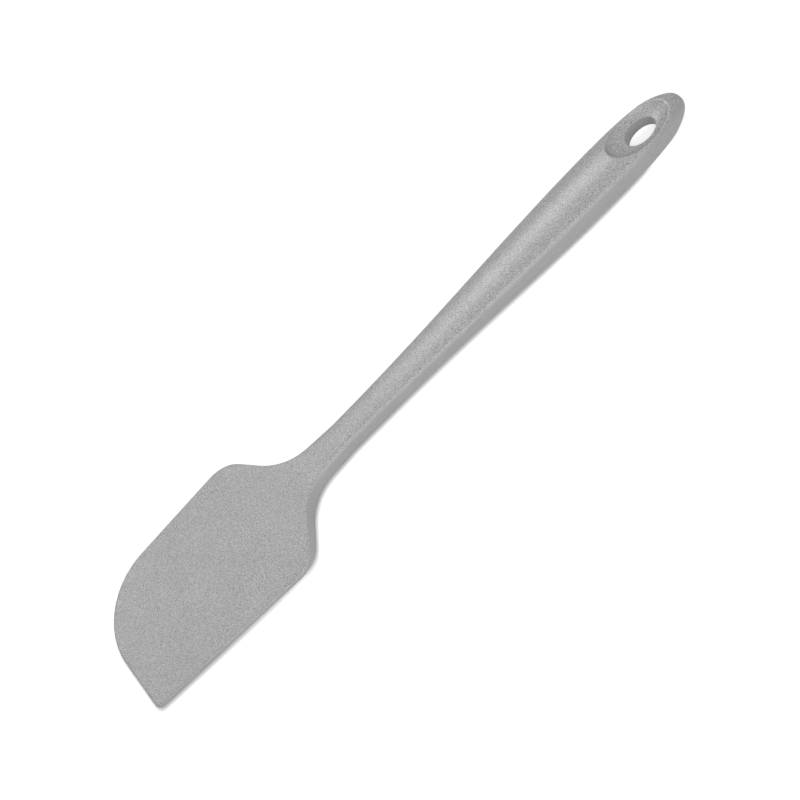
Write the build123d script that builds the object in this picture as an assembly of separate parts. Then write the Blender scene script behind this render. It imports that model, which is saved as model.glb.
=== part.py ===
from build123d import *
import math
import os

# Silicone spatula: a seamless silicone moulding over a stiff nylon core.
# Stations run along the length, from 0 at the blade's tip to overall_length at the handle's end.
# Sizes are in millimetres.

overall_length = 280.0

# The mould parts at mid-height, so the sides lean in from there
draft_angle = 1.5

# Blade: a thin flat plate, one tip corner sharp and the other swept round
blade_length = 66.0
blade_width = 58.6
blade_side_angle = 3.0
blade_thickness = 2.4
blade_edge_radius = 0.9
tip_thickness = 2.0
tip_slant_angle = 2.0
tip_corner_radius = 2.0
tip_sweep_radius = 30.7

# Shoulder: the blade draws in and thickens to the neck
shoulder_corner_length = 7.5
shoulder_corner_radius = 13.1
shoulder_length = 15.1
shoulder_rise_length = 21.0
shoulder_rounding_length = 36.0
neck_corner_radius = 21.8
neck_root_width = 14.7
crown_start_length = 19.0
crown_rise_length = 35.0

# Neck: the narrowest stretch
neck_run_in_length = 22.4
neck_length = 25.0
neck_width = 11.55
neck_side_height = 6.75
neck_corner_round = 1.9

# Handle: widens and thickens towards the hanging end, with crowned faces
handle_width = 20.1
handle_side_height = 10.05
handle_corner_round = 3.0
handle_crown_radius = 22.0
widest_end_distance = 32.0
nose_length = 38.0
nose_fall_length = 13.0
nose_power = 2.5
nose_blunt_share = 0.9999

# Hanging end: a dish in each face, and an oval hole through the web between them
hole_end_distance = 18.9
hole_length = 12.7
hole_width = 9.1
hole_rim_round = 0.5
dish_length = 28.2
dish_side_margin = 1.55
dish_web = 4.0
dish_rim_round = 0.4

# Core: glass-filled nylon inside the moulding, with windows that the silicone fills
core_face_skin = 1.9
core_side_skin = 2.2
core_start_length = 5.5
core_end_distance = 37.0
tongue_width = 16.0
tongue_corner_radius = 3.0
core_end_corner_radius = 4.0
window_length = 11.0
window_width = 3.4
window_start_length = 9.0
window_end_length = 13.0
window_count = 6

# How many sections and spans the shapes are drawn through
shoulder_section_count = 16
neck_section_count = 4
handle_section_count = 9
nose_section_count = 9
core_span_count = 4
cut_overrun = 5.0

# Stations worked out from the lengths
shoulder_corner_station = blade_length + shoulder_corner_length
neck_corner_station = shoulder_corner_station + shoulder_length
neck_station = neck_corner_station + neck_run_in_length
neck_end_station = neck_station + neck_length
shoulder_end_station = blade_length + shoulder_rise_length
rounding_end_station = blade_length + shoulder_rounding_length
crown_start_station = blade_length + crown_start_length
crown_end_station = crown_start_station + crown_rise_length
handle_station = overall_length - widest_end_distance
nose_station = overall_length - nose_length
nose_fall_station = overall_length - nose_fall_length
hole_station = overall_length - hole_end_distance
core_start_station = shoulder_corner_station + core_start_length
core_end_station = overall_length - core_end_distance

blade_side_slope = math.tan(math.radians(blade_side_angle))
draft = math.radians(draft_angle)


def ease(station, start, end):
    """Smooth rise from 0 at the start to 1 at the end."""
    share = min(max((station - start) / (end - start), 0), 1)
    return (1 - math.cos(math.pi * share)) / 2


def blade_half_width(station):
    """Straight side of the blade, measured from the centre line."""
    return blade_width / 2 - blade_side_slope * (blade_length - station)


def rounded_line(station, points, radii):
    """Height at a station of a line through points, whose inner corners are rounded by arcs."""
    height = None
    for before, after in zip(points, points[1:]):
        if before.X <= station <= after.X:
            height = before.Y + (after.Y - before.Y) * (station - before.X) / (after.X - before.X)
    runs = [(after - before).length for before, after in zip(points, points[1:])]
    rooms = [runs[0]] + [run / 2 for run in runs[1:-1]] + [runs[-1]]
    for number, radius in enumerate(radii):
        before, corner, after = points[number : number + 3]
        into = (corner - before).normalized()
        out = (after - corner).normalized()
        half_turn = math.tan(math.radians(into.get_angle(out)) / 2)
        reach = min(radius * half_turn, rooms[number], rooms[number + 1])
        radius = reach / half_turn
        start = corner - into * reach
        end = corner + out * reach
        if start.X < station < end.X:
            side = 1 if into.cross(out).Z > 0 else -1
            centre = start + Vector(-into.Y, into.X) * side * radius
            height = centre.Y - side * math.sqrt(radius**2 - (station - centre.X) ** 2)
    return height


def half_width(station):
    """Half of the moulding's width."""
    if station < neck_station:
        points = [
            Vector(blade_length, blade_half_width(blade_length)),
            Vector(shoulder_corner_station, blade_half_width(shoulder_corner_station)),
            Vector(neck_corner_station, neck_root_width / 2),
            Vector(neck_station, neck_width / 2),
        ]
        return rounded_line(station, points, [shoulder_corner_radius, neck_corner_radius])
    swell = ease(station, neck_station, handle_station)
    return (neck_width + (handle_width - neck_width) * swell) / 2 * nose_share(station, nose_station)


def nose_share(station, start):
    """Blunt curve that falls from 1 at the start to nearly 0 at the end of the handle."""
    along = max((station - start) / (overall_length - start), 0)
    return (1 - (along * nose_blunt_share) ** nose_power) ** (1 / nose_power)


def side_half_height(station):
    """Half of the height of the moulding's side, below the crown."""
    rise = ease(station, blade_length, shoulder_end_station)
    swell = ease(station, neck_end_station, handle_station)
    height = blade_thickness + (neck_side_height - blade_thickness) * rise
    height = height + (handle_side_height - neck_side_height) * swell
    return height / 2 * nose_share(station, nose_fall_station)


def corner_round(station):
    """Radius of the rounded long edges, which take up the whole side at the end of the handle."""
    rise = ease(station, blade_length, rounding_end_station)
    swell = ease(station, neck_end_station, handle_station)
    radius = blade_edge_radius + (neck_corner_round - blade_edge_radius) * rise
    radius = radius + (handle_corner_round - neck_corner_round) * swell
    radius = radius * nose_share(station, nose_fall_station)
    return radius + (side_half_height(station) - radius) * ease(station, nose_fall_station, overall_length)


def crown_height(station):
    """How far the middle of a face stands above its rounded edges."""
    radius = handle_crown_radius - corner_round(station)
    reach = half_width(station) - corner_round(station)
    share = ease(station, crown_start_station, crown_end_station)
    if share == 0:
        return 0
    return share * (radius - math.sqrt(radius**2 - reach**2))


def section(station, half, side, rounding, crown):
    """Outline across the length: crowned faces, rounded corners, sides that lean in from mid-height."""
    rise = side - rounding
    reach = half - (rounding + rise * math.sin(draft)) / math.cos(draft)
    lean = 2 * math.atan2(crown, reach)

    def corner(angle):
        return reach + rounding * math.sin(angle), rise + rounding * math.cos(angle)

    start = corner(lean)
    middle = corner((lean + math.pi / 2 - draft) / 2)
    end = corner(math.pi / 2 - draft)
    edges = []
    for turn in (1, -1):
        top = Vector(station, 0, turn * (side + crown))
        left, right = (Vector(station, way * turn * start[0], turn * start[1]) for way in (-1, 1))
        if crown == 0:
            edges.append(Edge.make_line(left, right))
        else:
            edges.append(Edge.make_three_point_arc(left, top, right))
        upper = [Vector(station, turn * y, turn * z) for y, z in (start, middle, end)]
        lower = [Vector(station, turn * y, -turn * z) for y, z in (end, middle, start)]
        parting = Vector(station, turn * half, 0)
        edges.append(Edge.make_three_point_arc(*upper))
        edges.append(Edge.make_line(upper[-1], parting))
        edges.append(Edge.make_line(parting, lower[0]))
        edges.append(Edge.make_three_point_arc(*lower))
    return Wire(edges)


def moulding_section(station):
    """Outline of the moulding at a station."""
    return section(
        station,
        half_width(station),
        side_half_height(station),
        corner_round(station),
        crown_height(station),
    )


def spread(start, end, count):
    """Evenly spaced stations after the start, up to the end."""
    return [start + (end - start) * (number + 1) / count for number in range(count)]


def blade_plate():
    """Flat blade up to the shoulder: its outline, wedged thickness and rounded edges."""
    slant = math.tan(math.radians(tip_slant_angle))
    half_corner = math.radians(90 - tip_slant_angle + blade_side_angle) / 2
    bisector = math.radians(90 - tip_slant_angle - blade_side_angle) / 2
    tip = tip_corner_radius * (1 - math.cos(bisector) / math.sin(half_corner))
    near = -blade_half_width(tip)
    far = (blade_half_width(tip) - blade_side_slope * slant * near) / (1 - blade_side_slope * slant)
    end = blade_length + cut_overrun
    outline = make_face(
        Polyline(
            (tip, near),
            (end, -blade_half_width(end)),
            (end, blade_half_width(end)),
            (tip + (far - near) * slant, far),
            close=True,
        )
    )
    near_tip, far_tip = outline.vertices().sort_by(Axis.X)[:2]
    outline = fillet(far_tip, tip_sweep_radius)
    near_tip = outline.vertices().sort_by_distance((tip, near))[0]
    outline = fillet(near_tip, tip_corner_radius)
    plate = extrude(outline, blade_thickness, both=True, taper=draft_angle)
    wedge = make_face(
        Plane.XZ
        * Polyline(
            (0, -tip_thickness / 2),
            (blade_length, -blade_thickness / 2),
            (blade_length, blade_thickness / 2),
            (0, tip_thickness / 2),
            close=True,
        )
    )
    plate = plate & extrude(wedge, blade_width, both=True)
    faces = plate.faces().sort_by(Axis.Z)
    rims = faces[0].edges() + faces[-1].edges()
    rims = rims.filter_by(lambda edge: blade_length - edge.center().X > blade_edge_radius / 2)
    return fillet(rims, blade_edge_radius)


def lofted_handle(blade):
    """Shoulder, neck, handle and nose in one loft that starts at the blade's end face."""
    joint = blade.faces().sort_by(Axis.X)[-1].outer_wire()
    stations = spread(blade_length, neck_station, shoulder_section_count)
    stations += spread(neck_station, neck_end_station, neck_section_count)
    stations += spread(neck_end_station, nose_station, handle_section_count)
    turns = spread(0, math.pi / 2, nose_section_count)
    stations += [nose_station + (overall_length - nose_station) * math.sin(turn) for turn in turns]
    wires = [moulding_section(station) for station in stations]
    return Solid.make_loft([joint] + wires)


def hanging_end(body):
    """Sink a dish in each face, cut the oval hole through the web, and soften both rims."""
    face_height = side_half_height(hole_station) + crown_height(handle_station)
    depth = face_height - dish_web / 2
    half_width_of_dish = handle_width / 2 - dish_side_margin
    bowl = scale(Sphere(1), by=(dish_length / 2, half_width_of_dish, depth))
    bowls = [Pos(hole_station, 0, turn * face_height) * bowl for turn in (1, -1)]
    dished = body - bowls
    rims = new_edges(body, *bowls, combined=dished)
    dished = dished.fillet(dish_rim_round, rims)
    reach = face_height + cut_overrun
    hole = Pos(hole_station, 0, -reach) * extrude(Ellipse(hole_length / 2, hole_width / 2), 2 * reach)
    holed = dished - hole
    rims = new_edges(dished, hole, combined=holed)
    rims = rims.filter_by(lambda edge: edge.length > hole_length)
    return holed.fillet(hole_rim_round, rims)


def mirrored_outline(points):
    """Closed outline of points above a centre line and their mirror images below it."""
    below = [(station, -height) for station, height in reversed(points)]
    return Polyline(*points, *below, close=True)


def core_blank():
    """Core without its windows: it follows the moulding's outline and height, a skin's depth inside."""
    spans = spread(neck_end_station, core_end_station, core_span_count)
    stations = [core_start_station, shoulder_end_station, neck_corner_station]
    stations += [rounding_end_station, neck_station, neck_end_station] + spans
    widths = [min(half_width(station) - core_side_skin, tongue_width / 2) for station in stations]
    plan = make_face(mirrored_outline(list(zip(stations, widths))))
    plan = fillet(plan.vertices().sort_by(Axis.X)[:2], tongue_corner_radius)
    plan = fillet(plan.vertices().sort_by(Axis.X)[-2:], core_end_corner_radius)
    stations = [core_start_station, shoulder_end_station, neck_end_station] + spans
    heights = [side_half_height(station) - core_face_skin for station in stations]
    profile = make_face(Plane.XZ * mirrored_outline(list(zip(stations, heights))))
    return extrude(plan, handle_side_height, both=True) & extrude(profile, handle_width, both=True)


def handle_core():
    """Stiff core with a row of windows through it."""
    window = Pos(0, 0, -handle_side_height) * extrude(
        SlotOverall(window_length, window_width), 2 * handle_side_height
    )
    first = core_start_station + window_start_length
    last = core_end_station - window_end_length
    step = (last - first) / (window_count - 1)
    return core_blank() - [Pos(first + number * step, 0, 0) * window for number in range(window_count)]


def silicone_body(core):
    """The moulding: blade, shoulder, neck, handle and hanging end, with the core's space inside."""
    blade = blade_plate()
    return hanging_end(blade + lofted_handle(blade)) - core


def main():
    """Write each piece with the origin under the middle, on the plane that the handle rests on."""
    core = handle_core()
    pieces = {"silicone_body": silicone_body(core), "handle_core": core}
    resting = side_half_height(handle_station) + crown_height(handle_station)
    os.makedirs("parts", exist_ok=True)
    for name, piece in pieces.items():
        export_step(Pos(-overall_length / 2, 0, resting) * piece, f"parts/{name}.step")


if __name__ == "__main__":
    main()
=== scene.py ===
import math

import bmesh
import bpy
from mathutils import Matrix, Vector


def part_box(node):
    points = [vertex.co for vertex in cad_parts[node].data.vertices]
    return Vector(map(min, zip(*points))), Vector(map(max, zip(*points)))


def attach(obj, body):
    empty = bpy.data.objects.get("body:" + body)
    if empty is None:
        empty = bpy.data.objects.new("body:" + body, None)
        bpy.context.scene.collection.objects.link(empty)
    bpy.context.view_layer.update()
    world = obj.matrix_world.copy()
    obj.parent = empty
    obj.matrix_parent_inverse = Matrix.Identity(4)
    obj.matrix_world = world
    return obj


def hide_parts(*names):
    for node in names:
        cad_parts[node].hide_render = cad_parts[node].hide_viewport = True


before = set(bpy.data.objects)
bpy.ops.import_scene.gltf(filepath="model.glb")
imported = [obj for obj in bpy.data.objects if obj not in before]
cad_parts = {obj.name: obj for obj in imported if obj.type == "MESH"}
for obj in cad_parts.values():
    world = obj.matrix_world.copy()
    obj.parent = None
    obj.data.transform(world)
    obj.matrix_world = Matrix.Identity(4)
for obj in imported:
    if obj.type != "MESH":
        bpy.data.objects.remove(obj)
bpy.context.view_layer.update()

# Camera: how far it stands off, how far it leans from the vertical and how it is turned
DISTANCE = 0.72
LEAN = math.radians(36.0)
TURN = math.radians(45.318)
LENS = 91.9
SENSOR = 36.0
CLIP_END = 20.0
TARGET = Vector((-0.005485, -0.003967, 0.003506))

# The handle's underside and the neck touch the floor, so the spatula lies on a slight slope
FLOOR_SLOPE = math.radians(1.12)
FLOOR_HEIGHT = 0.00205
FLOOR_SIZE = 6.0
FLOOR_GREY = 0.62
FLOOR_ROUGHNESS = 0.9
FLOOR_SPECULAR = 0.1

# The floor glows for what the camera sees: this much inside the lit radius, and white outside the unlit one
FLOOR_GLOW = 0.72
LIT_RADIUS = 0.3
UNLIT_RADIUS = 1.0

# Painted contact shadow: the floor's glow is darkened where the spatula stands this close above the floor
# or beside it
PAINTED_SHADOW_REACH = 0.0018
PAINTED_SHADOW_DEPTH = 2.0
PAINTED_SHADOW_SAMPLES = 12

# Softboxes stand this far from the spatula's middle line
LAMP_DISTANCE = 0.8

# Name, place along the spatula, lean in degrees, width, height and power
SOFTBOXES = (
    ("near_softbox", 0.0, 52, 0.6, 0.95, 5.35),
    ("far_softbox", 0.14, -35, 0.32, 0.38, 2.6),
    ("blade_softbox", -0.3, -42, 0.2, 0.2, 0.7),
)
WORLD_FILL = 0.04

# Noise runs mostly between these values, and is turned away from the spatula's own axes
NOISE_LOW = 0.3
NOISE_HIGH = 0.7
NOISE_TURN = (0.5, 0.7, 0.4)

# Silicone: features in metres, depths as shares, and where the grain fades out on the steep sides
SILICONE_GREY = 0.4
SILICONE_ROUGHNESS = 0.31
ROUGHNESS_RANGE = 0.05
GRAIN_SIZE = 0.00021
GRAIN_DEPTH = 0.52
GRIT_SIZE = 0.0002
GRIT_DEPTH = 0.08
CLOUD_SIZE = 0.014
CLOUD_DETAIL = 3
CLOUD_DEPTH = 0.035
GRAIN_RELIEF = 0.00003
STEEP_UPRIGHT_SHARE = 0.5
FLAT_UPRIGHT_SHARE = 0.88
STEEP_GRAIN_SHARE = 0.1

# Nylon: fibres that lie along the core
NYLON_GREY = 0.06
NYLON_ROUGHNESS = 0.5
NYLON_ROUGHNESS_RANGE = 0.08
NYLON_DARK_SHARE = 0.75
NYLON_PALE_SHARE = 1.35
FIBRE_SIZE = 0.00015
FIBRE_DETAIL = 2
FIBRE_LAY = (0.12, 1, 1)
FIBRE_RELIEF = 0.00002

# Sizes of the moulding in millimetres, by station from the blade's tip
MILLIMETRE = 0.001
LOW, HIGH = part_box("silicone_body")
OVERALL_LENGTH = 280.0
MID_HEIGHT = (HIGH[2] + LOW[2]) / 2
DRAFT = math.radians(1.5)

BLADE_LENGTH = 66.0
BLADE_WIDTH = 58.6
BLADE_SIDE_ANGLE = math.radians(3.0)
BLADE_SIDE_SLOPE = math.tan(BLADE_SIDE_ANGLE)
BLADE_THICKNESS = 2.4
BLADE_EDGE_RADIUS = 0.9
TIP_THICKNESS = 2.0
TIP_SLANT = math.radians(2.0)
TIP_CORNER_RADIUS = 2.0
TIP_SWEEP_RADIUS = 30.7

SHOULDER_CORNER_LENGTH = 7.5
SHOULDER_CORNER_RADIUS = 13.1
SHOULDER_LENGTH = 15.1
SHOULDER_RISE_LENGTH = 21.0
SHOULDER_ROUNDING_LENGTH = 36.0
NECK_CORNER_RADIUS = 21.8
NECK_ROOT_WIDTH = 14.7
CROWN_START_LENGTH = 19.0
CROWN_RISE_LENGTH = 35.0

NECK_RUN_IN_LENGTH = 22.4
NECK_LENGTH = 25.0
NECK_WIDTH = 11.55
NECK_SIDE_HEIGHT = 6.75
NECK_CORNER_ROUND = 1.9

HANDLE_WIDTH = 20.1
HANDLE_SIDE_HEIGHT = 10.05
HANDLE_CORNER_ROUND = 3.0
HANDLE_CROWN_RADIUS = 22.0
WIDEST_END_DISTANCE = 32.0
NOSE_LENGTH = 38.0
NOSE_FALL_LENGTH = 13.0
NOSE_POWER = 2.5
NOSE_BLUNT_SHARE = 0.9999

HOLE_END_DISTANCE = 18.9
HOLE_LENGTH = 12.7
HOLE_WIDTH = 9.1
HOLE_RADII = (HOLE_LENGTH / 2, HOLE_WIDTH / 2)
HOLE_RIM = 0.5
DISH_LENGTH = 28.2
DISH_SIDE_MARGIN = 1.55
DISH_RADII = (DISH_LENGTH / 2, HANDLE_WIDTH / 2 - DISH_SIDE_MARGIN)
DISH_WEB = 4.0
DISH_RIM = 0.7

# Stations
SHOULDER_CORNER = BLADE_LENGTH + SHOULDER_CORNER_LENGTH
SHOULDER_END = BLADE_LENGTH + SHOULDER_RISE_LENGTH
ROUNDING_END = BLADE_LENGTH + SHOULDER_ROUNDING_LENGTH
CROWN_START = BLADE_LENGTH + CROWN_START_LENGTH
CROWN_END = CROWN_START + CROWN_RISE_LENGTH
NECK_CORNER = SHOULDER_CORNER + SHOULDER_LENGTH
NECK = NECK_CORNER + NECK_RUN_IN_LENGTH
NECK_END = NECK + NECK_LENGTH
HANDLE = OVERALL_LENGTH - WIDEST_END_DISTANCE
NOSE = OVERALL_LENGTH - NOSE_LENGTH
NOSE_FALL = OVERALL_LENGTH - NOSE_FALL_LENGTH
HOLE = OVERALL_LENGTH - HOLE_END_DISTANCE

# The mould's parting leaves a hair line round the sides
SEAM_HEIGHT = 0.12
SEAM_MOST_SHARE = 1 / 3
SEAM_DEPTH = 0.05

# Rows of faces: up the side, round the edge, over the face, and from the face down into the hole
SIDE_ROWS = 3
EDGE_ROWS = 9
FACE_ROWS = 12
LIP_ROWS = 4
RIM_ROWS = 7
DISH_ROWS = 14
BORE_ROWS = 4
BLADE_ROWS = 36
CAP_ROWS = 9

# Steps between the rows along the shoulder, the handle and the hanging end
SHOULDER_STEP = 0.5
FINE_END = SHOULDER_END + 5.0
HANDLE_STEP = 1.5
END_STEP = 0.75

# The face is left open round the dish, and rows run like spokes from there to the hole
OPEN_START = HOLE - 16.6
OPEN_END = OVERALL_LENGTH - 2.4
OPEN_EDGE_ROW = 4
SPOKE_RADII = (16.5, 8.9)

# The blade's columns turn square to its outline over this length
BLADE_BLEND = 6.0
FINE_STEPS = 4000
BEND_WEIGHT = 12.0
HALVINGS = 40
FLAT_DROP = 1e-9
WELD = 0.5e-6


def ease(station, start, end):
    """Smooth rise from 0 at the start to 1 at the end."""
    share = min(max((station - start) / (end - start), 0), 1)
    return (1 - math.cos(math.pi * share)) / 2


def blade_half_width(station):
    return BLADE_WIDTH / 2 - BLADE_SIDE_SLOPE * (BLADE_LENGTH - station)


def rounded_line(station, points, radii):
    """Height at a station of a line through points, whose inner corners are rounded by arcs."""
    height = None
    for before, after in zip(points, points[1:]):
        if before.x <= station <= after.x:
            height = before.y + (after.y - before.y) * (station - before.x) / (after.x - before.x)
    for number, radius in enumerate(radii):
        before, corner, after = points[number : number + 3]
        into = (corner - before).normalized()
        out = (after - corner).normalized()
        reach = radius * math.tan(into.angle(out) / 2)
        start = corner - into * reach
        end = corner + out * reach
        if start.x < station < end.x:
            side = 1 if into.cross(out) > 0 else -1
            centre = start + Vector((-into.y, into.x)) * side * radius
            height = centre.y - side * math.sqrt(radius**2 - (station - centre.x) ** 2)
    return height


def nose_share(station, start):
    """Blunt curve that falls from 1 at the start to nearly 0 at the end of the handle."""
    along = max((station - start) / (OVERALL_LENGTH - start), 0)
    return (1 - (along * NOSE_BLUNT_SHARE) ** NOSE_POWER) ** (1 / NOSE_POWER)


def half_width(station):
    if station < NECK:
        points = [
            Vector((BLADE_LENGTH, blade_half_width(BLADE_LENGTH))),
            Vector((SHOULDER_CORNER, blade_half_width(SHOULDER_CORNER))),
            Vector((NECK_CORNER, NECK_ROOT_WIDTH / 2)),
            Vector((NECK, NECK_WIDTH / 2)),
        ]
        return rounded_line(station, points, [SHOULDER_CORNER_RADIUS, NECK_CORNER_RADIUS])
    swell = ease(station, NECK, HANDLE)
    return (NECK_WIDTH + (HANDLE_WIDTH - NECK_WIDTH) * swell) / 2 * nose_share(station, NOSE)


def side_half_height(station):
    rise = ease(station, BLADE_LENGTH, SHOULDER_END)
    swell = ease(station, NECK_END, HANDLE)
    height = BLADE_THICKNESS + (NECK_SIDE_HEIGHT - BLADE_THICKNESS) * rise
    height += (HANDLE_SIDE_HEIGHT - NECK_SIDE_HEIGHT) * swell
    return height / 2 * nose_share(station, NOSE_FALL)


def corner_round(station):
    rise = ease(station, BLADE_LENGTH, ROUNDING_END)
    swell = ease(station, NECK_END, HANDLE)
    radius = BLADE_EDGE_RADIUS + (NECK_CORNER_ROUND - BLADE_EDGE_RADIUS) * rise
    radius += (HANDLE_CORNER_ROUND - NECK_CORNER_ROUND) * swell
    radius *= nose_share(station, NOSE_FALL)
    return radius + (side_half_height(station) - radius) * ease(station, NOSE_FALL, OVERALL_LENGTH)


def crown_height(station):
    share = ease(station, CROWN_START, CROWN_END)
    if share == 0:
        return 0
    radius = HANDLE_CROWN_RADIUS - corner_round(station)
    reach = half_width(station) - corner_round(station)
    return share * (radius - math.sqrt(radius**2 - reach**2))


class Section:
    """A quarter of the moulding's section: side, rounded edge and half of the crowned face."""

    def __init__(self, half, side, rounding, crown):
        self.half = half
        self.rounding = rounding
        self.rise = side - rounding
        self.reach = half - (rounding + self.rise * math.sin(DRAFT)) / math.cos(DRAFT)
        self.lean = 2 * math.atan2(crown, self.reach)
        self.top = side + crown
        self.face_start = self.edge_point(self.lean)
        drop = self.top - self.face_start[1]
        self.radius = None
        if drop > FLAT_DROP:
            self.radius = (self.face_start[0] ** 2 + drop**2) / (2 * drop)

    def edge_point(self, angle):
        """Point of the rounded edge, by the angle of its normal from the vertical."""
        return self.reach + self.rounding * math.sin(angle), self.rise + self.rounding * math.cos(angle)

    def face_height(self, across):
        if self.radius is None:
            return self.top
        return self.top - self.radius + math.sqrt(self.radius**2 - across**2)

    def height(self, across):
        """Height of the face or the rounded edge above mid-height."""
        if abs(across) <= self.face_start[0]:
            return self.face_height(across)
        out = min(abs(across) - self.reach, self.rounding)
        return self.rise + math.sqrt(self.rounding**2 - out**2)

    def rim(self):
        """Points from the parting line up the side and round the edge."""
        upright = math.pi / 2 - DRAFT
        foot = self.edge_point(upright)
        seam = min(SEAM_HEIGHT, foot[1] * SEAM_MOST_SHARE)
        inset = SEAM_DEPTH * seam / SEAM_HEIGHT
        points = [(self.half, 0)]
        for row in range(SIDE_ROWS):
            height = seam + (foot[1] - seam) * row / SIDE_ROWS
            fade = 1 - row / SIDE_ROWS
            points.append((self.half - height * math.tan(DRAFT) - inset * fade, height))
        for row in range(EDGE_ROWS + 1):
            points.append(self.edge_point(upright + (self.lean - upright) * row / EDGE_ROWS))
        return points

    def quarter(self):
        """Points from the parting line to the middle of the face."""
        points = self.rim()
        for row in range(1, FACE_ROWS + 1):
            across = self.face_start[0] * (1 - row / FACE_ROWS)
            points.append((across, self.face_height(across)))
        return points


def moulding_section(station):
    return Section(
        half_width(station), side_half_height(station), corner_round(station), crown_height(station)
    )


def blade_section(station):
    """Section square to the blade's outline, with its outline at 0."""
    thickness = TIP_THICKNESS + (BLADE_THICKNESS - TIP_THICKNESS) * station / BLADE_LENGTH
    return Section(BLADE_WIDTH, thickness / 2, BLADE_EDGE_RADIUS, 0)


def spaced(start, end, step):
    """Stations from the start to the end, about a step apart."""
    count = math.ceil((end - start) / step)
    return [start + (end - start) * number / count for number in range(count + 1)]


def over_the_top(station):
    """Points of the section from the far parting line over the face to the near one."""
    far = [Vector((station, across, height)) for across, height in moulding_section(station).quarter()]
    near = [Vector((point.x, -point.y, point.z)) for point in reversed(far[:-1])]
    return far + near


class Path:
    """The blade's outline, drawn as lines and rounded corners."""

    def __init__(self, corners, radii):
        self.pieces = []
        place = corners[0]
        for before, corner, after, radius in zip(corners, corners[1:], corners[2:], radii):
            into = (corner - before).normalized()
            out = (after - corner).normalized()
            turn = into.angle(out)
            start = corner - into * radius * math.tan(turn / 2)
            self.pieces.append((place, into, (start - place).length, 0))
            self.pieces.append((start, into, radius * turn, 1 / radius))
            place = corner + out * radius * math.tan(turn / 2)
            last = out
        self.pieces.append((place, last, (corners[-1] - place).length, 0))

    def at(self, distance):
        """Point and outward normal at a distance along the path."""
        for start, way, length, bend in self.pieces:
            if distance <= length:
                break
            distance -= length
        distance = min(distance, length)
        left = Vector((-way.y, way.x))
        if bend == 0:
            return start + way * distance, -left
        turn = distance * bend
        point = start + (way * math.sin(turn) + left * (1 - math.cos(turn))) / bend
        return point, way * math.sin(turn) - left * math.cos(turn)

    def middle(self, number):
        """Distance along the path to the middle of a piece."""
        lengths = [piece[2] for piece in self.pieces]
        return sum(lengths[:number]) + lengths[number] / 2

    def length(self):
        return sum(piece[2] for piece in self.pieces)

    def sampled(self, start, end, count):
        """Distances from start to end, closer together where the path bends."""
        step = (end - start) / FINE_STEPS
        marks = [start + step * (number + 0.5) for number in range(FINE_STEPS)]
        weights = [1 + BEND_WEIGHT * self.bend_at(mark) for mark in marks]
        total = sum(weights)
        distances = [start]
        gathered = 0
        for number, weight in enumerate(weights):
            gathered += weight
            while len(distances) < count and gathered >= total * len(distances) / count:
                over = (gathered - total * len(distances) / count) / weight
                distances.append(start + step * (number + 1 - over))
        return distances + [end]

    def bend_at(self, distance):
        for start, way, length, bend in self.pieces:
            if distance <= length:
                return bend
            distance -= length
        return 0


def blade_outline():
    """Outline from the far end of the blade round the tip to the near end."""
    half_corner = (math.pi / 2 - TIP_SLANT + BLADE_SIDE_ANGLE) / 2
    bisector = (math.pi / 2 - TIP_SLANT - BLADE_SIDE_ANGLE) / 2
    tip = TIP_CORNER_RADIUS * (1 - math.cos(bisector) / math.sin(half_corner))
    near = -blade_half_width(tip)
    slant = math.tan(TIP_SLANT)
    far = (blade_half_width(tip) - BLADE_SIDE_SLOPE * slant * near) / (1 - BLADE_SIDE_SLOPE * slant)
    corners = [
        Vector((BLADE_LENGTH, BLADE_WIDTH / 2)),
        Vector((tip + (far - near) * slant, far)),
        Vector((tip, near)),
        Vector((BLADE_LENGTH, -BLADE_WIDTH / 2)),
    ]
    return Path(corners, [TIP_SWEEP_RADIUS, TIP_CORNER_RADIUS])


def blade_sheets():
    """The blade's rim, row by row round its outline, and its face as one grid of quads."""
    path = blade_outline()
    far_corner, near_corner = path.middle(1), path.middle(3)
    marks = path.sampled(0, far_corner, BLADE_ROWS)
    marks += path.sampled(far_corner, near_corner, 2 * FACE_ROWS)[1:]
    marks += path.sampled(near_corner, path.length(), BLADE_ROWS)[1:]
    columns = []
    for mark in marks:
        point, outward = path.at(mark)
        from_end = min(mark, path.length() - mark)
        straight = Vector((0, math.copysign(1, point.y)))
        outward = straight.lerp(outward, ease(from_end, 0, BLADE_BLEND)).normalized()
        columns.append([
            Vector((*(point - outward * (BLADE_WIDTH - across)), height))
            for across, height in blade_section(point.x).rim()
        ])
    rim = [list(row) for row in zip(*columns)]
    edge = rim[-1]
    far_side = edge[: BLADE_ROWS + 1]
    tip = edge[BLADE_ROWS : BLADE_ROWS + 2 * FACE_ROWS + 1]
    near_side = edge[: BLADE_ROWS + 2 * FACE_ROWS - 1 : -1]
    root = [far_side[0].lerp(near_side[0], number / (2 * FACE_ROWS)) for number in range(2 * FACE_ROWS + 1)]
    return [rim, stretched(root, tip, far_side, near_side)]


def stretched(root, tip, far_side, near_side):
    """Grid stretched between four edges."""
    rows = []
    for number, (far, near) in enumerate(zip(far_side, near_side)):
        down = number / (len(far_side) - 1)
        row = []
        for place, (start, end) in enumerate(zip(root, tip)):
            over = place / (len(root) - 1)
            corners = root[0].lerp(root[-1], over).lerp(tip[0].lerp(tip[-1], over), down)
            row.append(far.lerp(near, over) + start.lerp(end, down) - corners)
        rows.append(row)
    return rows


def dish_height(station, across):
    """Height of the dish's floor above mid-height, or None outside the dish."""
    face = side_half_height(HOLE) + crown_height(HANDLE)
    share = ((station - HOLE) / DISH_RADII[0]) ** 2 + (across / DISH_RADII[1]) ** 2
    if share >= 1:
        return None
    return face - (face - DISH_WEB / 2) * math.sqrt(1 - share)


def lies_in_dish(point):
    floor_height = dish_height(point.x, point.y)
    return floor_height is not None and floor_height < moulding_section(point.x).height(point.y)


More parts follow.
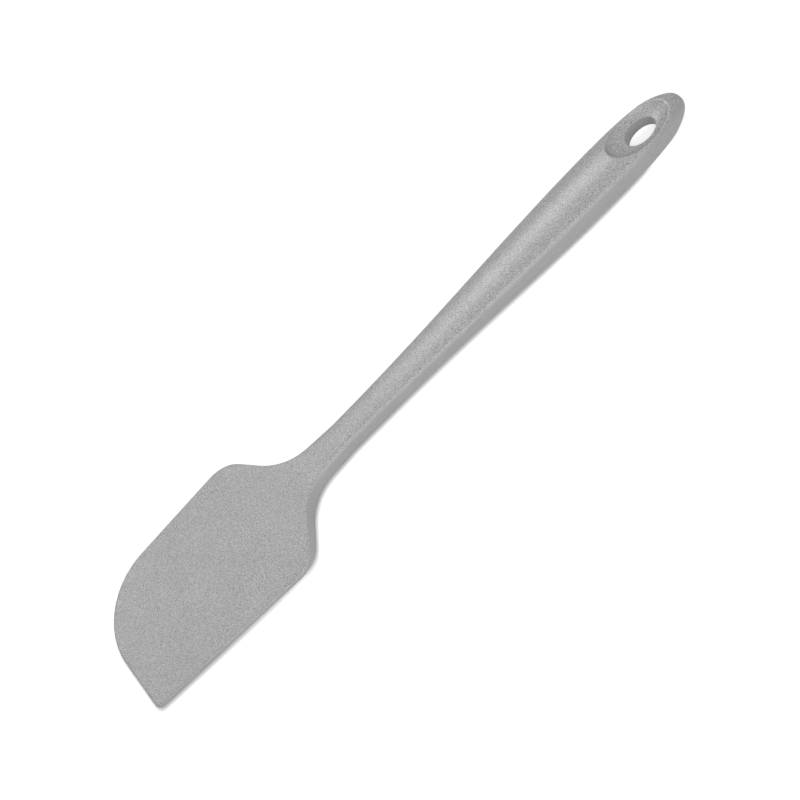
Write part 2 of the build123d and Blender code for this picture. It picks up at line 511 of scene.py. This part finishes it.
def on_moulding(point):
    return Vector((*point, moulding_section(point.x).height(point.y)))


def on_dish(point):
    return Vector((*point, dish_height(point.x, point.y)))


def halved(low, high, passes):
    """Narrow a range down to where a test turns true."""
    for _ in range(HALVINGS):
        middle = (low + high) / 2
        low, high = (low, middle) if passes(middle) else (middle, high)
    return high


def hole_spoke(outer):
    """Points from the face, over the dish's rim and its floor, round the hole's rim and down its bore."""
    angle = math.atan2(outer.y / SPOKE_RADII[1], (outer.x - HOLE) / SPOKE_RADII[0])
    way = Vector((math.cos(angle), math.sin(angle)))
    hole = Vector((HOLE + HOLE_RADII[0] * way.x, HOLE_RADII[1] * way.y))
    outward = Vector((way.x / HOLE_RADII[0], way.y / HOLE_RADII[1])).normalized()
    inner = hole + outward * HOLE_RIM
    plan = Vector((outer.x, outer.y))
    span = (inner - plan).length

    def at(share):
        return plan.lerp(inner, share)

    rim_share = halved(0, 1, lambda share: lies_in_dish(at(share)))
    rim = on_dish(at(rim_share))
    lip_share = rim_share - DISH_RIM / span
    lip = on_moulding(at(lip_share))
    foot_share = halved(rim_share, 1, lambda share: (on_dish(at(share)) - rim).length > DISH_RIM)
    foot = on_dish(at(foot_share))
    points = [outer]
    points += [on_moulding(at(lip_share * row / LIP_ROWS)) for row in range(1, LIP_ROWS)]
    for row in range(RIM_ROWS + 1):
        share = row / RIM_ROWS
        points.append(lip.lerp(rim, share).lerp(rim.lerp(foot, share), share))
    for row in range(1, DISH_ROWS + 1):
        share = foot_share + (1 - foot_share) * (row / DISH_ROWS) ** 2
        points.append(on_dish(at(share)))
    floor_height = points[-1].z
    for row in range(1, RIM_ROWS + 1):
        turn = math.pi / 2 * row / RIM_ROWS
        place = inner - outward * HOLE_RIM * math.sin(turn)
        points.append(Vector((*place, floor_height - HOLE_RIM * (1 - math.cos(turn)))))
    top = points[-1]
    points += [Vector((top.x, top.y, top.z * (1 - row / BORE_ROWS))) for row in range(1, BORE_ROWS + 1)]
    return points


def handle_sheets():
    """Shoulder, neck, handle and nose, with the dish and the hole let into the face."""
    stations = spaced(BLADE_LENGTH, FINE_END, SHOULDER_STEP)
    stations += spaced(FINE_END, OPEN_START, HANDLE_STEP)[1:]
    before = [over_the_top(station) for station in stations]
    beside = [over_the_top(station) for station in spaced(OPEN_START, OPEN_END, END_STEP)]
    turns = [math.pi / 2 * row / CAP_ROWS for row in range(CAP_ROWS + 1)]
    nose = [over_the_top(OPEN_END + (OVERALL_LENGTH - OPEN_END) * math.sin(turn)) for turn in turns]
    nose.append([Vector((OVERALL_LENGTH, 0, 0))] * len(nose[0]))
    edge = OPEN_EDGE_ROW + SIDE_ROWS
    far_sides = [row[: edge + 1] for row in beside]
    near_sides = [row[-edge - 1 :] for row in beside]
    loop = beside[0][edge:-edge]
    loop += [row[-edge - 1] for row in beside[1:]]
    loop += beside[-1][edge : -edge - 1][::-1]
    loop += [row[edge] for row in beside[1:-1]][::-1]
    spokes = [hole_spoke(point) for point in loop]
    return [before, far_sides, near_sides, nose, spokes + spokes[:1]]


def moulding():
    """Seamless moulding: every sheet above mid-height and its mirror image below."""
    mesh = bmesh.new()
    for sheet in blade_sheets() + handle_sheets():
        for side in (1, -1):
            grid = [
                [
                    mesh.verts.new((
                        (point.x - OVERALL_LENGTH / 2) * MILLIMETRE,
                        point.y * MILLIMETRE,
                        point.z * side * MILLIMETRE + MID_HEIGHT,
                    ))
                    for point in row
                ]
                for row in sheet
            ]
            for row, after in zip(grid, grid[1:]):
                for corners in zip(row, row[1:], after[1:], after):
                    mesh.faces.new(corners)
    bmesh.ops.remove_doubles(mesh, verts=mesh.verts, dist=WELD)
    bmesh.ops.dissolve_degenerate(mesh, edges=mesh.edges, dist=WELD)
    bmesh.ops.recalc_face_normals(mesh, faces=mesh.faces)
    data = bpy.data.meshes.new("moulding")
    mesh.to_mesh(data)
    mesh.free()
    data.shade_smooth()
    piece = bpy.data.objects.new("moulding", data)
    bpy.context.scene.collection.objects.link(piece)
    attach(piece, "root")
    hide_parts("silicone_body")
    return piece


def camera():
    """Camera at the photograph's viewing angle."""
    back = Vector((0, -math.sin(LEAN), math.cos(LEAN)))
    lift = Vector((0, math.cos(LEAN), math.sin(LEAN)))
    along = Vector((1, 0, 0))
    up = math.sin(TURN) * along + math.cos(TURN) * lift
    right = math.cos(TURN) * along - math.sin(TURN) * lift
    data = bpy.data.cameras.new("camera")
    data.lens = LENS
    data.sensor_width = SENSOR
    data.clip_end = CLIP_END
    view = bpy.data.objects.new("camera", data)
    bpy.context.scene.collection.objects.link(view)
    turned = Matrix((right, up, back)).transposed().to_4x4()
    view.matrix_world = Matrix.Translation(TARGET + back * DISTANCE) @ turned
    bpy.context.scene.camera = view


def softbox(name, along, lean, width, height, power):
    """Lamp over a point along the handle, leaning from the vertical towards the camera's side."""
    angle = math.radians(lean)
    place = Vector((along, -LAMP_DISTANCE * math.sin(angle), LAMP_DISTANCE * math.cos(angle)))
    data = bpy.data.lights.new(name, "AREA")
    data.shape = "RECTANGLE"
    data.size = width
    data.size_y = height
    data.energy = power
    lamp = bpy.data.objects.new(name, data)
    bpy.context.scene.collection.objects.link(lamp)
    lamp.location = place
    aim = Vector((along / 2, 0, 0)) - place
    lamp.rotation_euler = aim.to_track_quat("-Z", "Y").to_euler()


def seen_ray(tree):
    """Output that is 1 for what the camera sees, straight or in a reflection or through glass."""
    path = tree.nodes.new("ShaderNodeLightPath")
    seen = path.outputs["Is Camera Ray"]
    for kind in ("Is Glossy Ray", "Is Transmission Ray"):
        either = tree.nodes.new("ShaderNodeMath")
        either.operation = "MAXIMUM"
        tree.links.new(seen, either.inputs[0])
        tree.links.new(path.outputs[kind], either.inputs[1])
        seen = either.outputs[0]
    return seen


def surroundings():
    """White where it is seen, and a soft grey fill where it lights."""
    world = bpy.data.worlds.new("surroundings")
    bpy.context.scene.world = world
    world.use_nodes = True
    tree = world.node_tree
    background = tree.nodes["Background"]
    background.inputs["Color"].default_value = (1, 1, 1, 1)
    strength = tree.nodes.new("ShaderNodeMapRange")
    strength.inputs["To Min"].default_value = WORLD_FILL
    tree.links.new(seen_ray(tree), strength.inputs["Value"])
    tree.links.new(strength.outputs["Result"], background.inputs["Strength"])


def open_floor_glow(tree):
    """Glow of the floor, which rises to white where the lamps' light runs out."""
    away = tree.nodes.new("ShaderNodeVectorMath")
    away.operation = "LENGTH"
    tree.links.new(tree.nodes.new("ShaderNodeTexCoord").outputs["Object"], away.inputs[0])
    glow = tree.nodes.new("ShaderNodeMapRange")
    glow.inputs["From Min"].default_value = LIT_RADIUS
    glow.inputs["From Max"].default_value = UNLIT_RADIUS
    glow.inputs["To Min"].default_value = FLOOR_GLOW
    tree.links.new(away.outputs["Value"], glow.inputs["Value"])
    return glow.outputs["Result"]


def floor():
    """Pale floor whose lit parts show white, whose shadows stay, and whose glow is darkened near the
    spatula as a painted contact shadow.
    """
    bpy.ops.mesh.primitive_plane_add(size=FLOOR_SIZE)
    plane = bpy.context.object
    plane.name = "floor"
    plane.rotation_euler = (0, FLOOR_SLOPE, 0)
    plane.location = (0, 0, FLOOR_HEIGHT)
    material = bpy.data.materials.new("floor")
    material.use_nodes = True
    tree = material.node_tree
    shader = tree.nodes["Principled BSDF"]
    shader.inputs["Base Color"].default_value = (FLOOR_GREY, FLOOR_GREY, FLOOR_GREY, 1)
    shader.inputs["Roughness"].default_value = FLOOR_ROUGHNESS
    shader.inputs["Specular IOR Level"].default_value = FLOOR_SPECULAR
    shader.inputs["Emission Color"].default_value = (1, 1, 1, 1)
    # Painted contact shadow: ambient occlusion near the spatula lowers the glow that the camera sees
    painted_shadow = tree.nodes.new("ShaderNodeAmbientOcclusion")
    painted_shadow.samples = PAINTED_SHADOW_SAMPLES
    painted_shadow.inputs["Distance"].default_value = PAINTED_SHADOW_REACH
    glow = tree.nodes.new("ShaderNodeMath")
    glow.operation = "POWER"
    glow.inputs[1].default_value = PAINTED_SHADOW_DEPTH
    tree.links.new(painted_shadow.outputs["AO"], glow.inputs[0])
    glow = product(tree, glow.outputs[0], seen_ray(tree))
    tree.links.new(product(tree, glow, open_floor_glow(tree)), shader.inputs["Emission Strength"])
    plane.data.materials.append(material)


def turned_place(tree):
    """Place on the object, turned so that no face lies along the noise's own grid."""
    place = tree.nodes.new("ShaderNodeTexCoord").outputs["Object"]
    turned = tree.nodes.new("ShaderNodeMapping")
    turned.inputs["Rotation"].default_value = NOISE_TURN
    tree.links.new(place, turned.inputs["Vector"])
    return turned.outputs["Vector"]


def noise(tree, coordinates, feature, detail=0):
    """Cloudy noise with features of about this size in metres."""
    texture = tree.nodes.new("ShaderNodeTexNoise")
    texture.inputs["Scale"].default_value = 1 / feature
    texture.inputs["Detail"].default_value = detail
    tree.links.new(coordinates, texture.inputs["Vector"])
    return texture.outputs["Fac"]


def spread(tree, value, low, high):
    """Noise spread over a range of values."""
    ranged = tree.nodes.new("ShaderNodeMapRange")
    ranged.inputs["From Min"].default_value = NOISE_LOW
    ranged.inputs["From Max"].default_value = NOISE_HIGH
    ranged.inputs["To Min"].default_value = low
    ranged.inputs["To Max"].default_value = high
    ranged.clamp = False
    tree.links.new(value, ranged.inputs["Value"])
    return ranged.outputs["Result"]


def face_share(tree):
    """Share that is 1 on surfaces that lie flat and low on the steep sides."""
    normal = tree.nodes.new("ShaderNodeTexCoord").outputs["Normal"]
    parts = tree.nodes.new("ShaderNodeSeparateXYZ")
    tree.links.new(normal, parts.inputs["Vector"])
    upright = tree.nodes.new("ShaderNodeMath")
    upright.operation = "ABSOLUTE"
    tree.links.new(parts.outputs["Z"], upright.inputs[0])
    ranged = tree.nodes.new("ShaderNodeMapRange")
    ranged.inputs["From Min"].default_value = STEEP_UPRIGHT_SHARE
    ranged.inputs["From Max"].default_value = FLAT_UPRIGHT_SHARE
    ranged.inputs["To Min"].default_value = STEEP_GRAIN_SHARE
    tree.links.new(upright.outputs[0], ranged.inputs["Value"])
    return ranged.outputs["Result"]


def blend(tree, share, first, second):
    mixed = tree.nodes.new("ShaderNodeMix")
    mixed.inputs["A"].default_value = first
    tree.links.new(share, mixed.inputs["Factor"])
    tree.links.new(second, mixed.inputs["B"])
    return mixed.outputs["Result"]


def product(tree, first, second):
    both = tree.nodes.new("ShaderNodeMath")
    both.operation = "MULTIPLY"
    tree.links.new(first, both.inputs[0])
    tree.links.new(second, both.inputs[1])
    return both.outputs[0]


def grey(tree, value):
    """The same value for red, green and blue."""
    colour = tree.nodes.new("ShaderNodeCombineColor")
    for channel in ("Red", "Green", "Blue"):
        tree.links.new(value, colour.inputs[channel])
    return colour.outputs["Color"]


def bumped(tree, shader, height, depth):
    bump = tree.nodes.new("ShaderNodeBump")
    bump.inputs["Distance"].default_value = depth
    tree.links.new(height, bump.inputs["Height"])
    tree.links.new(bump.outputs["Normal"], shader.inputs["Normal"])


def silicone():
    """Satin silicone: fine grain in its colour, gloss and surface, and a faint broad cloudiness."""
    material = bpy.data.materials.new("silicone")
    material.use_nodes = True
    tree = material.node_tree
    shader = tree.nodes["Principled BSDF"]
    place = turned_place(tree)
    grain = noise(tree, place, GRAIN_SIZE)
    grit = noise(tree, place, GRIT_SIZE)
    cloud = noise(tree, place, CLOUD_SIZE, CLOUD_DETAIL)
    speckle = blend(tree, face_share(tree), 1, spread(tree, grain, 1 - GRAIN_DEPTH, 1 + GRAIN_DEPTH))
    tone = product(tree, speckle, spread(tree, cloud, 1 - CLOUD_DEPTH, 1 + CLOUD_DEPTH))
    darkest = SILICONE_GREY * (1 - GRIT_DEPTH)
    palest = SILICONE_GREY * (1 + GRIT_DEPTH)
    tone = product(tree, tone, spread(tree, grit, darkest, palest))
    tree.links.new(grey(tree, tone), shader.inputs["Base Color"])
    smoothest = SILICONE_ROUGHNESS - ROUGHNESS_RANGE
    roughest = SILICONE_ROUGHNESS + ROUGHNESS_RANGE
    tree.links.new(spread(tree, grit, smoothest, roughest), shader.inputs["Roughness"])
    bumped(tree, shader, grain, GRAIN_RELIEF)
    return material


def nylon():
    """Dark glass-filled nylon, with short fibres that lie along the handle."""
    material = bpy.data.materials.new("core_nylon")
    material.use_nodes = True
    tree = material.node_tree
    shader = tree.nodes["Principled BSDF"]
    place = tree.nodes.new("ShaderNodeTexCoord").outputs["Object"]
    lay = tree.nodes.new("ShaderNodeVectorMath")
    lay.operation = "MULTIPLY"
    lay.inputs[1].default_value = FIBRE_LAY
    tree.links.new(place, lay.inputs[0])
    fibre = noise(tree, lay.outputs["Vector"], FIBRE_SIZE, FIBRE_DETAIL)
    tone = spread(tree, fibre, NYLON_GREY * NYLON_DARK_SHARE, NYLON_GREY * NYLON_PALE_SHARE)
    tree.links.new(grey(tree, tone), shader.inputs["Base Color"])
    smoothest = NYLON_ROUGHNESS - NYLON_ROUGHNESS_RANGE
    roughest = NYLON_ROUGHNESS + NYLON_ROUGHNESS_RANGE
    tree.links.new(spread(tree, fibre, smoothest, roughest), shader.inputs["Roughness"])
    bumped(tree, shader, fibre, FIBRE_RELIEF)
    return material


def finish(node, material):
    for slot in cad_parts[node].material_slots:
        slot.material = material


camera()
surroundings()
floor()
for lamp in SOFTBOXES:
    softbox(*lamp)
moulding().data.materials.append(silicone())
finish("handle_core", nylon())

bpy.context.scene.view_settings.view_transform = "Standard"
